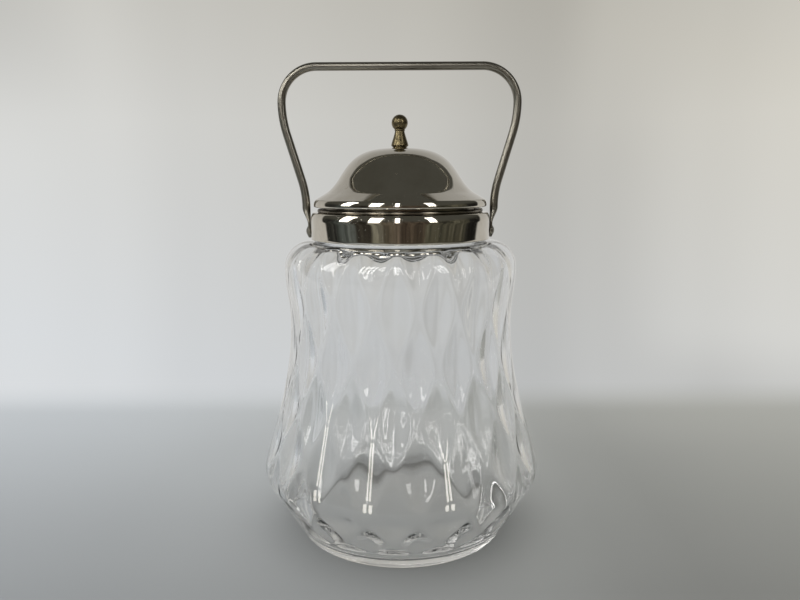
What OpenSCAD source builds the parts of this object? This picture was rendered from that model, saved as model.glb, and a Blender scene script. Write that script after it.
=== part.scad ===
// Biscuit jar: a diamond-optic glass body with a plated collar bedded on its neck,
// a lift-off domed lid with a brass finial, and a wire bail that swings on two rivets.
// Origin at the centre of the foot, +Z up, the bail's pivot axis along X, front towards -Y.

/* [Glass body] */
// Radius of the flat foot
foot_r = 51.5; // [48:0.5:54]
// Radius of the rounded edge between foot and bowl
foot_round = 2.6; // [2:0.1:4]
// Widest radius of the bowl, over the ridges
girth_r = 70.5; // [66:0.5:74]
// Height of the widest point above the foot
girth_z = 33; // [30:0.5:37]
// Radius of the bend of the wall around the girth
girth_round = 9; // [6:0.5:12]
// Radius of the waist above the bowl
waist_r = 55; // [53:0.5:57]
// Height of the waist
waist_z = 108; // [102:1:114]
// Radius of the shoulder bulge
shoulder_r = 57.5; // [57:0.5:60]
// Height of the shoulder bulge
shoulder_z = 134.5; // [130:0.5:140]
// Radius of the arc that turns the shoulder in towards the neck
shoulder_round = 12; // [11:0.25:12.5]
// Thickness of the wall, over the ridges
glass_wall = 3.2; // [2.8:0.1:4]
// Thickness of the base
glass_base = 5; // [4:0.5:8]
// Height of the plain neck above the shoulder
neck_h = 12; // [11:0.5:14]
// Thickness of the neck
neck_wall = 3.2; // [2.6:0.1:3.5]

/* [Diamond pattern] */
// Number of diamonds around the body
diamonds = 18; // [16:1:20]
// Depth of each dimple below the ridges
dimple_depth = 1.3; // [0.6:0.1:1.6]
// How much the ridges are rounded down from sharp crests
ridge_round = 0.16; // [0.06:0.01:0.4]
// Turn of the whole pattern about the axis, in degrees
pattern_turn = 2; // [0:1:20]
// Length down the wall of half a diamond in the top row
half_row = 27; // [25:0.5:28]
// How much shorter each following half row is
row_shrink = 2; // [1.6:0.1:2.3]

/* [Collar] */
// Outer radius of the collar
collar_r = 44; // [43:0.25:45]
// Thickness of the plated sheet of collar and lid
sheet = 0.8; // [0.6:0.05:1]
// Gap between the shoulder and the lower edge of the collar
collar_gap = 1.3; // [1.2:0.1:2]
// Radius of the gentle curve below the upper edge of the collar
collar_crown = 7; // [6:0.5:9]
// Radius of the bend at the upper edge of the collar
collar_round = 1.2; // [1:0.1:1.6]
// Thickness of the plaster between neck and collar
cement_side = 1.2; // [1.1:0.1:1.5]
// Thickness of the plaster over the lip of the neck
cement_top = 1.4; // [1:0.1:2]

/* [Lid] */
// How far the rim of the lid stands in from the face of the collar
rim_inset = 1.5; // [1.2:0.1:2]
// Height of the convex rim of the lid
rim_h = 3.5; // [3.2:0.1:4]
// Open groove between the collar and the rim of the lid
rim_gap = 2.5; // [2.2:0.1:3.5]
// Height of the dome above its rim
dome_h = 24.6; // [22:0.2:27]
// Radius at which the dome turns from bulging to hollow
dome_turn_r = 29.8; // [28:0.2:31]
// Width of the conical skirt between the hollow of the dome and the rim
skirt_w = 5.5; // [4.5:0.1:6.5]
// Radius of the flat crown under the finial
crown_r = 5; // [4.8:0.1:7]
// Gap around the bezel inside the mouth
bezel_gap = 0.7; // [0.5:0.1:0.9]
// How far the bezel hangs below its seat
bezel_drop = 8; // [6:0.5:10]

/* [Finial] */
// Height of the finial above the crown
finial_h = 16; // [14:0.5:18]
// Radius of the ball
ball_r = 3.95; // [3.5:0.05:4.2]
// Radius of the skirt
skirt_r = 4.2; // [3.9:0.1:4.6]
// Radius of the waist under the ball
finial_neck_r = 2.3; // [1.8:0.1:2.6]
// Radius of the threaded stud
stud_r = 1.5; // [1.3:0.1:1.8]
// Radius of the washer under the crown
washer_r = 4.4; // [4:0.1:4.7]
// Width of the nut across its flats
nut_af = 5.5; // [5:0.1:6.5]
// Height of the nut
nut_h = 2.4; // [2:0.1:3]

/* [Bail handle] */
// Radius of the round wire
wire_r = 2; // [1.75:0.05:2.2]
// Height of the bar's centreline above the pivots
bail_h = 78.4; // [76:0.2:84]
// How far the widest part of the bail stands out past the face of the collar
bail_out = 12.9; // [11.5:0.1:14]
// Radius of the two upper corners, on the centreline
corner_r = 17; // [15:0.5:19]
// Radius of the curve below each corner
flare_r = 52; // [45:1:58]
// Lean of the straight part of each arm, in degrees
arm_lean = 16.7; // [15:0.1:19]
// Radius of the curve that brings each arm upright again
ankle_r = 45; // [38:1:50]
// Height of the pivots above the lower edge of the collar
pivot_up = 3.6; // [3.4:0.1:5]
// Radius of the eye at each end
eye_r = 3.3; // [2.9:0.05:3.35]
// Thickness of each eye
eye_t = 1.2; // [1:0.1:1.5]
// Gap between the collar and the eye
eye_gap = 0.3; // [0.2:0.05:0.6]

/* [Rivets] */
// Radius of the rivet's shank
rivet_r = 1.2; // [1:0.05:1.4]
// Radius of the domed head
rivet_head_r = 2.5; // [2.2:0.1:2.8]
// Height of the domed head
rivet_head_h = 1; // [0.8:0.1:1.3]
// Radius of the burr inside the collar
burr_r = 2.7; // [2.4:0.1:3]
// Thickness of the burr
burr_t = 0.5; // [0.4:0.05:0.55]
// Clearance of the pivots
pivot_clear = 0.05; // [0.02:0.01:0.1]
// Gap between eye and rivet head
head_gap = 0.2; // [0.1:0.05:0.3]

/* [Hidden] */
$fn = 96;
// Clearance between pieces that are bedded, soldered or screwed together
bed = 0.05;

// Heights of the stack, from the shoulder up
shoulder_top = shoulder_z + shoulder_round;
lip_z = shoulder_top + neck_h;
collar_z0 = shoulder_top + collar_gap;
collar_z1 = lip_z + cement_top + sheet + bed;
pivot_z = collar_z0 + pivot_up;
rim_z0 = collar_z1 + rim_gap;
rim_z1 = rim_z0 + rim_h;
crown_z = rim_z1 + dome_h;

// Radii of the stack, from the collar in
collar_in = collar_r - sheet;
neck_r = collar_in - cement_side;
mouth_r = neck_r - neck_wall;
bezel_r = mouth_r - bezel_gap;
rim_r = collar_r - rim_inset;

// Curves ----------------------------------------------------------------------------------

function bezier(p0, p1, p2, p3, t) =
    pow(1 - t, 3) * p0 + 3 * t * pow(1 - t, 2) * p1 + 3 * t * t * (1 - t) * p2 + t * t * t * p3;
// Points of a curve without its last one, so that curves chain
function curve(p0, p1, p2, p3, n) = [for (i = [0 : n - 1]) bezier(p0, p1, p2, p3, i / n)];
function arc(centre, r, a0, a1, n) =
    [for (i = [0 : n]) let (a = a0 + (a1 - a0) * i / n) centre + r * [cos(a), sin(a)]];
function without_last(p) = [for (i = [0 : len(p) - 2]) p[i]];
function unit(v) = v / norm(v);
function clamp01(x) = max(0, min(1, x));
// Side normal of a curve at point i, to the left of its direction of travel
function side(p, i) =
    let (d = unit(p[min(i + 1, len(p) - 1)] - p[max(i - 1, 0)])) [-d[1], d[0]];
function shifted(p, dist) = [for (i = [0 : len(p) - 1]) p[i] + dist * side(p, i)];
function reversed(p) = [for (i = [len(p) - 1 : -1 : 0]) p[i]];

// Glass -----------------------------------------------------------------------------------

// Outline over the ridges, from the foot of the neck down to the foot
bowl_h = waist_z - girth_z;
foot_edge = [foot_r + 0.85 * foot_round, 1.2 * foot_round];
girth_c = [girth_r - girth_round, girth_z];
// Angles at which the bend of the girth runs into the wall above and below
girth_high_a = 9.5;
girth_low_a = -20;
function girth_at(a) = girth_c + girth_round * [cos(a), sin(a)];
outline = concat(
    arc([shoulder_r - shoulder_round, shoulder_z], shoulder_round, 90, 8, 11),
    curve([shoulder_r, shoulder_z], [shoulder_r, shoulder_z - 11],
          [waist_r, waist_z + 11], [waist_r, waist_z], 8),
    curve([waist_r, waist_z], [waist_r, waist_z - 0.44 * bowl_h],
          girth_at(girth_high_a) + 0.14 * bowl_h * [-sin(girth_high_a), cos(girth_high_a)],
          girth_at(girth_high_a), 15),
    without_last(arc(girth_c, girth_round, girth_high_a, girth_low_a, 4)),
    curve(girth_at(girth_low_a),
          girth_at(girth_low_a) + 0.13 * girth_z * [sin(girth_low_a), -cos(girth_low_a)],
          foot_edge + [4.3, 6.8], foot_edge, 12),
    curve(foot_edge, foot_edge - [0.35, 0.62] * foot_round,
          [foot_r + 0.35 * foot_round, 0], [foot_r, 0], 4),
    [[foot_r, 0]]
);

// The same outline by its length from the neck
function lengths(p, i = 0, d = 0) =
    i == len(p) - 1 ? [d] : concat([d], lengths(p, i + 1, d + norm(p[i + 1] - p[i])));
outline_d = lengths(outline);
outline_len = outline_d[len(outline) - 1];
radius_by_d = [for (i = [0 : len(outline) - 1]) [outline_d[i], outline[i][0]]];
height_by_d = [for (i = [0 : len(outline) - 1]) [outline_d[i], outline[i][1]]];
function on_outline(d) = [lookup(d, radius_by_d), lookup(d, height_by_d)];
function out_of_outline(d) =
    let (v = unit(on_outline(min(d + 0.4, outline_len)) - on_outline(max(d - 0.4, 0))))
    [-v[1], v[0]];

// Rows of crossings: crossing n lies at length row_d(n), every other one half a diamond aside
first_row_d = 6.4;
function row_d(n) = first_row_d + half_row * n - row_shrink * n * (n - 1) / 2;
// Depth, from 0 on a ridge to 1 in the middle of a diamond
ridge_soft = ridge_round / dimple_depth;
function rounded_abs(x) = sqrt(x * x + ridge_soft * ridge_soft) - ridge_soft;
function dimple(u, n) =
    rounded_abs(sin(180 * (u + n / 2)) * sin(180 * (u - n / 2))) / rounded_abs(1);
// The pattern runs out over the last millimetres at the neck and at the foot
function fade(d) = clamp01(d / 3) * clamp01((outline_len - d) / 7);

// Levels as [length, row]; steps of a quarter row put a vertex on every ridge
steps = 8;
row_steps = [for (j = [0 : 40]) if (row_d(j / 4) < outline_len - 1) j / 4];
levels = concat(
    [[0, -first_row_d / half_row], [first_row_d / 2, -first_row_d / 2 / half_row]],
    [for (n = row_steps) [row_d(n), n]],
    [[outline_len, row_steps[len(row_steps) - 1] + 0.25]]
);
around = diamonds * steps;

function glass_point(level, k) =
    let (
        d = level[0],
        sink = dimple_depth * fade(d) * dimple(k / steps, level[1]),
        p = on_outline(d) - sink * out_of_outline(d),
        a = pattern_turn + 360 * k / around
    )
    [p[0] * sin(a), -p[0] * cos(a), p[1]];

// One quad between two levels, cut along the direction of the nearer ridge
neck_levels = 2;
function off_ridge(x) = abs(x - round(x));
function glass_quad(j, k) =
    let (
        a = j * around + k,
        b = j * around + (k + 1) % around,
        c = a + around,
        d = b + around,
        row = j - neck_levels
    )
    off_ridge((k + row + 1) / steps) < off_ridge((k - row) / steps)
        ? [[a, b, c], [b, d, c]]
        : [[a, b, d], [a, d, c]];

module glass_skin() {
    last = len(levels) - 1;
    points = [for (l = levels) for (k = [0 : around - 1]) glass_point(l, k)];
    walls = [for (j = [0 : last - 1]) for (k = [0 : around - 1]) each glass_quad(j, k)];
    top = [for (k = [around - 1 : -1 : 0]) k];
    bottom = [for (k = [0 : around - 1]) last * around + k];
    polyhedron(points, concat(walls, [top], [bottom]));
}

// Inside of the bowl and neck: the outline moved in by the wall, closed by a flat floor
floor_round = 6;
inner_all = shifted(outline, -glass_wall);
inner_wall = [for (p = inner_all) if (p[1] > glass_base + floor_round * 0.6) p];
inner_foot = inner_wall[len(inner_wall) - 1];
inner_corner = [inner_foot[0] - (inner_foot[1] - glass_base) * 0.6, glass_base];
inner_top = inner_wall[0];

module glass_cavity() {
    rotate_extrude()
        polygon(concat(
            [[0, lip_z + 1], [mouth_r, lip_z + 1]],
            reversed(arc([mouth_r + 2, inner_top[1] + 2], 2, 270, 180, 5)),
            inner_wall,
            curve(inner_foot, inner_corner + [0.5, 0.4], inner_corner - [0.6, 0],
                  inner_corner - [floor_round, 0], 6),
            [inner_corner - [floor_round, 0], [0, glass_base]]
        ));
}

lip_round = 1.1;
neck_fillet = 0.9;
module glass_neck() {
    root_z = shoulder_top - glass_wall / 2;
    rotate_extrude()
        polygon(concat(
            [[0, root_z], [neck_r + neck_fillet, root_z]],
            reversed(arc([neck_r + neck_fillet, shoulder_top + neck_fillet], neck_fillet, 180, 270, 4)),
            arc([neck_r - lip_round, lip_z - lip_round], lip_round, 0, 90, 5),
            [[0, lip_z]]
        ));
}

module glass_jar() {
    color([0.86, 0.9, 0.9, 0.35])
        difference() {
            union() {
                glass_skin();
                glass_neck();
            }
            glass_cavity();
        }
}

// Collar and its bedding ------------------------------------------------------------------

// Angle at which the collar's gentle curve runs into the bend of its edge
collar_crown_a = 28;
crown_c = [
    collar_r - collar_crown,
    collar_z1 - collar_round - (collar_crown - collar_round) * sin(collar_crown_a)
];
bend_c = crown_c + (collar_crown - collar_round) * [cos(collar_crown_a), sin(collar_crown_a)];
// Face of the collar from its gentle curve to its flat top, moved in by "in"
function collar_edge(in) = concat(
    without_last(arc(crown_c, collar_crown - in, 0, collar_crown_a, 5)),
    arc(bend_c, max(collar_round - in, 0.1), collar_crown_a, 90, 4)
);

// Both pivots: children drawn along +X at the pivot height, on each side
module at_pivots() {
    for (turn = [0, 180])
        rotate([0, 0, turn])
            translate([0, 0, pivot_z])
                rotate([0, 90, 0])
                    children();
}

// The plaster stops short of the collar's lower edge
cement_recess = 0.8;
burr_face = sqrt(pow(collar_in, 2) - pow(burr_r, 2)) - bed / 2;
burr_back = burr_face - burr_t;
tail_back = neck_r + 0.08;

module neck_cement() {
    in_r = neck_r + bed;
    out_r = collar_in - bed;
    color([0.9, 0.89, 0.85])
        difference() {
            rotate_extrude()
                polygon(concat(
                    [[in_r, collar_z0 + cement_recess], [out_r, collar_z0 + cement_recess]],
                    collar_edge(sheet + bed),
                    [[mouth_r + 0.4, collar_z1 - sheet - bed], [mouth_r + 0.4, lip_z + bed],
                     [in_r, lip_z + bed]]
                ));
            at_pivots()
                cylinder(r = burr_r + 0.25, h = collar_r);
        }
}

module collar() {
    color([0.74, 0.72, 0.68])
        difference() {
            rotate_extrude()
                polygon(concat(
                    [[collar_in, collar_z0], [collar_r, collar_z0]],
                    collar_edge(0),
                    [[mouth_r, collar_z1], [mouth_r, collar_z1 - sheet]],
                    reversed(collar_edge(sheet))
                ));
            at_pivots()
                cylinder(r = rivet_r + bed, h = collar_r + 1);
        }
}

// Rivets ----------------------------------------------------------------------------------

eye_x = collar_r + eye_gap;
head_x = eye_x + eye_t + head_gap;

// A solid of revolution along the pivot: tail, shank and domed head
module rivet() {
    cap_r = (pow(rivet_head_r, 2) + pow(rivet_head_h, 2)) / (2 * rivet_head_h);
    cap_a = asin(rivet_head_r / cap_r);
    rotate_extrude()
        polygon(concat(
            [[0, tail_back], [1.5 * rivet_r, tail_back], [1.5 * rivet_r, burr_back - bed / 2],
             [rivet_r, burr_back - bed / 2], [rivet_r, head_x]],
            arc([0, head_x + rivet_head_h - cap_r], cap_r, 90 - cap_a, 90, 8)
        ));
}

module handle_rivets() {
    color([0.68, 0.66, 0.62])
        at_pivots()
            rivet();
}

module rivet_burrs() {
    color([0.7, 0.6, 0.4])
        at_pivots()
            translate([0, 0, burr_back])
                difference() {
                    cylinder(r = burr_r, h = burr_t);
                    translate([0, 0, -1])
                        cylinder(r = rivet_r + bed, h = burr_t + 2);
                }
}

// Bail handle -----------------------------------------------------------------------------

arm_x = eye_x + wire_r;
out_x = collar_r + bail_out;
corner_z = pivot_z + bail_h - corner_r;
bend = 1 - cos(arm_lean);
lean_len = (out_x - arm_x - (flare_r + ankle_r) * bend) / sin(arm_lean);
lean_top = [out_x - flare_r * bend, corner_z - flare_r * sin(arm_lean)];
lean_foot = lean_top - lean_len * [sin(arm_lean), cos(arm_lean)];
ankle_z = lean_foot[1] - ankle_r * sin(arm_lean);

// Centreline of the right half, from the ankle up to the middle of the bar
arm_path = concat(
    arc([arm_x + ankle_r, ankle_z], ankle_r, 180, 180 - arm_lean, 4),
    arc([out_x - flare_r, corner_z], flare_r, -arm_lean, 0, 4),
    arc([out_x - corner_r, corner_z], corner_r, 10, 90, 8),
    [[0, corner_z + corner_r]]
);

// The forged end: the wire spreads into a flat tongue, its inner face upright
tongue_t = eye_t - 0.1;
tongue_half = eye_r - 0.1;
tongue_top = ankle_z - 0.3;
tongue_steps = 7;
spread_from = 0.3;

function ease(t) = t * t * (3 - 2 * t);
// Superellipse ring in the plane of the direction "out" and Y
ring_n = 20;
function ring(p, out, a, b, power) = [
    for (k = [0 : ring_n - 1])
        let (
            c = cos(360 * k / ring_n),
            s = sin(360 * k / ring_n),
            u = a * sign(c) * pow(abs(c), 2 / power),
            v = b * sign(s) * pow(abs(s), 2 / power)
        )
        [p[0] + out[0] * u, v, p[1] + out[1] * u]
];
tongue_rings = [
    for (i = [0 : tongue_steps])
        let (
            t = i / tongue_steps,
            round = ease(clamp01((t - spread_from) / (1 - spread_from))),
            a = tongue_t / 2 + (wire_r - tongue_t / 2) * round,
            b = tongue_half + (wire_r - tongue_half) * round,
            z = pivot_z + (tongue_top - pivot_z) * t
        )
        ring([eye_x + (eye_t - tongue_t) / 2 * (1 - round) + a, z], [1, 0], a, b, 5 - 3 * round)
];
arm_rings = [
    for (i = [0 : len(arm_path) - 1])
        ring(arm_path[i], i == len(arm_path) - 1 ? [0, 1] : -side(arm_path, i), wire_r, wire_r, 2)
];

module bail_wire() {
    half = concat(tongue_rings, arm_rings);
    n = len(half);
    mirrored = [for (r = half) [for (p = r) [-p[0], p[1], p[2]]]];
    rings = concat(mirrored, [for (i = [n - 2 : -1 : 0]) half[i]]);
    last = len(rings) - 1;
    walls = [
        for (j = [0 : last - 1])
            for (k = [0 : ring_n - 1])
                let (
                    a = j * ring_n + k,
                    b = j * ring_n + (k + 1) % ring_n
                )
                each [[a, b, b + ring_n], [a, b + ring_n, a + ring_n]]
    ];
    start = [for (k = [ring_n - 1 : -1 : 0]) k];
    end = [for (k = [0 : ring_n - 1]) last * ring_n + k];
    polyhedron([for (r = rings) for (p = r) p], concat(walls, [start], [end]));
}

module handle() {
    color([0.6, 0.57, 0.52])
        difference() {
            union() {
                bail_wire();
                at_pivots()
                    translate([0, 0, eye_x])
                        cylinder(r = eye_r, h = eye_t);
            }
            at_pivots()
                translate([0, 0, eye_x - 1])
                    cylinder(r = rivet_r + pivot_clear, h = eye_t + 2);
        }
}

// Lid -------------------------------------------------------------------------------------

// The rim is a convex band that leans in towards its top, its lower edge rounded
rim_a = 32;
rim_round = (rim_h - sheet) / sin(rim_a);
rim_c = [rim_r - rim_round, rim_z0 + sheet];
brim = rim_c + rim_round * [cos(rim_a), sin(rim_a)];
rim_in = arc(rim_c, rim_round - sheet, 0, rim_a, 4);
rim_in_top = rim_in[len(rim_in) - 1];

// Outside of the dome, from the crown out to the end of its skirt, as two curves that share
// their slope where the dome turns from bulging to hollow
skirt_a = 30.5;
skirt_top = brim + skirt_w * [-1, tan(skirt_a)];
turn_a = 58;
turn_share = 0.417;
dome_turn = [dome_turn_r, rim_z1 + turn_share * dome_h];
dome = concat(
    curve([crown_r, crown_z], [crown_r + 0.625 * (dome_turn_r - crown_r), crown_z],
          dome_turn + 0.366 * dome_h * [-cos(turn_a), sin(turn_a)], dome_turn, 14),
    curve(dome_turn, dome_turn + 0.13 * dome_h * [cos(turn_a), -sin(turn_a)],
          skirt_top + 0.09 * dome_h * [-cos(skirt_a), sin(skirt_a)], skirt_top, 8),
    [skirt_top]
);
under_dome = [
    for (p = shifted(concat(dome, [brim]), -sheet))
        if (p[0] > crown_r && p[0] < rim_in_top[0]) p
];
// Height of the underside of the skirt
skirt_in = skirt_top - sheet * [sin(skirt_a), cos(skirt_a)];
skirt_fall = (skirt_in[1] - rim_in_top[1]) / (rim_in_top[0] - skirt_in[0]);
function under_skirt(r) = skirt_in[1] - (r - skirt_in[0]) * skirt_fall;

module lid_shell() {
    hole_r = stud_r + 0.15;
    color([0.72, 0.7, 0.66])
        rotate_extrude()
            polygon(concat(
                [[hole_r, crown_z]],
                dome,
                arc(rim_c, rim_round, rim_a, 0, 6),
                arc([rim_r - sheet, rim_z0 + sheet], sheet, 0, -90, 4),
                rim_in,
                reversed(under_dome),
                [[crown_r, crown_z - sheet], [hole_r, crown_z - sheet]]
            ));
}

// The bezel is soldered under the skirt, and its bead rests on the flat top of the collar
bead_r = 0.8;
// How far the bead stands in from the rim
bead_inset = 1.8;
module lid_bezel() {
    seat_z = collar_z1;
    in_r = bezel_r - sheet;
    color([0.7, 0.68, 0.63])
        rotate_extrude()
            polygon(concat(
                [[in_r, seat_z - bezel_drop], [bezel_r, seat_z - bezel_drop], [bezel_r, seat_z]],
                arc([rim_r - bead_inset - bead_r, seat_z + bead_r], bead_r, -90, 90, 6),
                [[bezel_r, seat_z + 2 * bead_r], [bezel_r, under_skirt(bezel_r) - bed],
                 [in_r, under_skirt(in_r) - bed]]
            ));
}

// Finial and what holds it ----------------------------------------------------------------

washer_t = 0.8;
washer_z = crown_z - sheet - washer_t;
nut_z = washer_z - nut_h;

module finial() {
    ball_z = crown_z + finial_h - ball_r;
    join_a = -acos(finial_neck_r / ball_r);
    join_z = ball_z + ball_r * sin(join_a);
    foot_r1 = 0.8 * skirt_r;
    skirt_z = crown_z + 1.3;
    color([0.62, 0.5, 0.28])
        rotate_extrude()
            polygon(concat(
                [[0, nut_z - 0.8], [stud_r - 0.3, nut_z - 0.8], [stud_r, nut_z - 0.5],
                 [stud_r, crown_z], [foot_r1, crown_z], [foot_r1, crown_z + 0.5]],
                curve([skirt_r, skirt_z], [skirt_r - 0.2, skirt_z + 1.5],
                      [finial_neck_r + 0.4, join_z - 3], [finial_neck_r, join_z - 0.7], 6),
                [[finial_neck_r, join_z - 0.7], [finial_neck_r + 0.3, join_z - 0.35]],
                arc([0, ball_z], ball_r, join_a, 90, 16)
            ));
}

module finial_washer() {
    color([0.7, 0.6, 0.4])
        translate([0, 0, washer_z])
            difference() {
                cylinder(r = washer_r, h = washer_t);
                translate([0, 0, -1])
                    cylinder(r = stud_r + 0.15, h = washer_t + 2);
            }
}

module finial_nut() {
    color([0.72, 0.6, 0.38])
        translate([0, 0, nut_z])
            difference() {
                cylinder(r = nut_af / 2 / cos(30), h = nut_h, $fn = 6);
                translate([0, 0, -1])
                    cylinder(r = stud_r + bed, h = nut_h + 2);
            }
}

glass_jar();
neck_cement();
collar();
handle_rivets();
rivet_burrs();
handle();
lid_shell();
lid_bezel();
finial();
finial_washer();
finial_nut();
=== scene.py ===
import math

import bmesh
import bpy
import numpy as np
from mathutils import Matrix, Vector


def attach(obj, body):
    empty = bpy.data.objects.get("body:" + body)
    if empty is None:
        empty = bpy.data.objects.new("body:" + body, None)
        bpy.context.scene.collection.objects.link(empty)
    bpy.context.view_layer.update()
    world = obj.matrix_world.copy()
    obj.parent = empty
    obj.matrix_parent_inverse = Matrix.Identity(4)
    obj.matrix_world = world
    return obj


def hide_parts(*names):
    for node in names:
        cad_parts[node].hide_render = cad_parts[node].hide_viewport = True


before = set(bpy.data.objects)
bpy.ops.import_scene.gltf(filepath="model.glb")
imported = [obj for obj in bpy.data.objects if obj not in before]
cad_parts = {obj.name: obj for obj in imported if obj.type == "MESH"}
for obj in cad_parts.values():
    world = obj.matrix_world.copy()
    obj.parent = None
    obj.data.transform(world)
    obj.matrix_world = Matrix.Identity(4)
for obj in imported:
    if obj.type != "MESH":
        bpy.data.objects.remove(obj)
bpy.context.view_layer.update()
MM = 0.001

# ---- Sizes, in mm and degrees ------------------------------------
# The glass is smooth outside and has its relief inside, unlike the part's solid. GIRTH_R and
# SHOULDER_R are a little smaller than there, to stay within it and clear of the lowered bail.
FOOT_R, FOOT_ROUND = 51.5, 2.6
GIRTH_R, GIRTH_Z, GIRTH_ROUND = 69.98, 33.0, 9.0
WAIST_R, WAIST_Z = 55.0, 108.0
SHOULDER_R, SHOULDER_Z, SHOULDER_ROUND = 57.1, 134.5, 12.0
GLASS_WALL, GLASS_BASE = 3.2, 5.0
NECK_H, NECK_WALL = 12.0, 3.2
# The diamonds: how many around, how deep the grooves between them and how soft their edges,
# where they start, how far they turn down to the foot, and how the rows follow each other
DIAMONDS, GROOVE_DEPTH, GROOVE_ROUND = 18, 1.3, 0.16
PATTERN_TURN, PATTERN_TWIST = -2.0, -2.0
HALF_ROW, ROW_SHRINK, FIRST_ROW_D = 27.0, 1.7, 6.4
# All that follows repeats the part's source
COLLAR_R, SHEET, COLLAR_GAP = 44.0, 0.8, 1.3
COLLAR_CROWN, COLLAR_ROUND, COLLAR_CROWN_A = 7.0, 1.2, 28.0
CEMENT_SIDE, CEMENT_TOP = 1.2, 1.4
RIM_INSET, RIM_H, RIM_GAP, RIM_A = 1.5, 3.5, 2.5, 32.0
DOME_H, DOME_TURN_R, CROWN_R = 24.6, 29.8, 5.0
SKIRT_W, SKIRT_A, TURN_A, TURN_SHARE = 5.5, 30.5, 58.0, 0.417
BEZEL_GAP, BEZEL_DROP, BEAD_R, BEAD_INSET = 0.7, 8.0, 0.8, 1.8
FINIAL_H, BALL_R, SKIRT_R, FINIAL_NECK_R, STUD_R = 16.0, 3.95, 4.2, 2.3, 1.5
WASHER_T, NUT_H = 0.8, 2.4
WIRE_R, BAIL_H, BAIL_OUT = 2.0, 78.4, 12.9
CORNER_R, FLARE_R, ARM_LEAN, ANKLE_R = 17.0, 52.0, 16.7, 45.0
PIVOT_UP, EYE_R, EYE_T, EYE_GAP = 3.6, 3.3, 1.2, 0.3
RIVET_R, RIVET_HEAD_R, RIVET_HEAD_H = 1.2, 2.5, 1.0
BURR_R, BURR_T, PIVOT_CLEAR, HEAD_GAP = 2.7, 0.5, 0.05, 0.2
BED = 0.05

SHOULDER_TOP = SHOULDER_Z + SHOULDER_ROUND
LIP_Z = SHOULDER_TOP + NECK_H
COLLAR_Z0 = SHOULDER_TOP + COLLAR_GAP
COLLAR_Z1 = LIP_Z + CEMENT_TOP + SHEET + BED
PIVOT_Z = COLLAR_Z0 + PIVOT_UP
RIM_Z0 = COLLAR_Z1 + RIM_GAP
RIM_Z1 = RIM_Z0 + RIM_H
CROWN_Z = RIM_Z1 + DOME_H
COLLAR_IN = COLLAR_R - SHEET
NECK_R = COLLAR_IN - CEMENT_SIDE
MOUTH_R = NECK_R - NECK_WALL
BEZEL_R = MOUTH_R - BEZEL_GAP
RIM_R = COLLAR_R - RIM_INSET


def sind(a):
    return math.sin(math.radians(a))


def cosd(a):
    return math.cos(math.radians(a))


def polar(r, a):
    return np.array([r * cosd(a), r * sind(a)])


# ---- Curves ------------------------------------------------------
def curve(p0, p1, p2, p3, n, last=False):
    """Points of a cubic curve, without its last one unless last is true."""
    t = np.linspace(0.0, 1.0, n + 1)[:, None]
    p0, p1, p2, p3 = (np.array(p, float) for p in (p0, p1, p2, p3))
    pts = (
        (1 - t) ** 3 * p0
        + 3 * t * (1 - t) ** 2 * p1
        + 3 * t * t * (1 - t) * p2
        + t**3 * p3
    )
    return pts if last else pts[:-1]


def arc(centre, r, a0, a1, n):
    """Points of an arc from angle a0 to a1, with both its ends."""
    a = np.radians(np.linspace(a0, a1, n + 1))
    return np.stack([centre[0] + r * np.cos(a), centre[1] + r * np.sin(a)], 1)


def side(pts):
    """Normals to the left of the direction of travel."""
    p = np.asarray(pts, float)
    d = np.empty_like(p)
    d[1:-1] = p[2:] - p[:-2]
    d[0], d[-1] = p[1] - p[0], p[-1] - p[-2]
    d /= np.linalg.norm(d, axis=1)[:, None]
    return np.stack([-d[:, 1], d[:, 0]], 1)


SAME_POINT = 1e-4


def path(*parts):
    """One list of points, without repeated ones."""
    pts = np.vstack([np.atleast_2d(np.array(p, float)) for p in parts])
    keep = [0]
    for i in range(1, len(pts)):
        if np.linalg.norm(pts[i] - pts[keep[-1]]) > SAME_POINT:
            keep.append(i)
    return pts[keep]


def rounded(pts, radii, n):
    """The open path with corners rounded by n steps. Each point has its radius, 0 to keep it."""
    pts = [np.array(p, float) for p in pts]
    out = []
    for i, radius in enumerate(radii):
        if radius <= 0:
            out.append(pts[i][None])
            continue
        a, b, c = pts[i - 1 : i + 2]
        u, v = a - b, c - b
        lu, lv = np.linalg.norm(u), np.linalg.norm(v)
        cut = min(radius, 0.49 * lu, 0.49 * lv)
        p, q = b + u / lu * cut, b + v / lv * cut
        t = np.linspace(0, 1, n + 1)[:, None]
        out.append((1 - t) ** 2 * p + 2 * t * (1 - t) * b + t * t * q)
    return np.vstack(out)


# ---- Meshes ------------------------------------------------------
def new_object(name, verts, faces, material, sharp=None):
    """A mesh object from points in mm, smooth except across edges sharper than that angle."""
    mesh = bpy.data.meshes.new(name)
    mesh.from_pydata((np.asarray(verts, float) * MM).tolist(), [], faces)
    mesh.validate()
    mesh.update()
    mesh.polygons.foreach_set("use_smooth", [True] * len(mesh.polygons))
    if sharp is not None:
        mesh.set_sharp_from_angle(angle=math.radians(sharp))
    mesh.materials.append(material)
    ob = bpy.data.objects.new(name, mesh)
    bpy.context.scene.collection.objects.link(ob)
    return ob


def piece(ob, body, slot, *nodes):
    """Makes the object a piece of the part: its body and what it replaces. The slot is not used.
    """
    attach(ob, body)
    if nodes:
        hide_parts(*nodes)
    return ob


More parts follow.
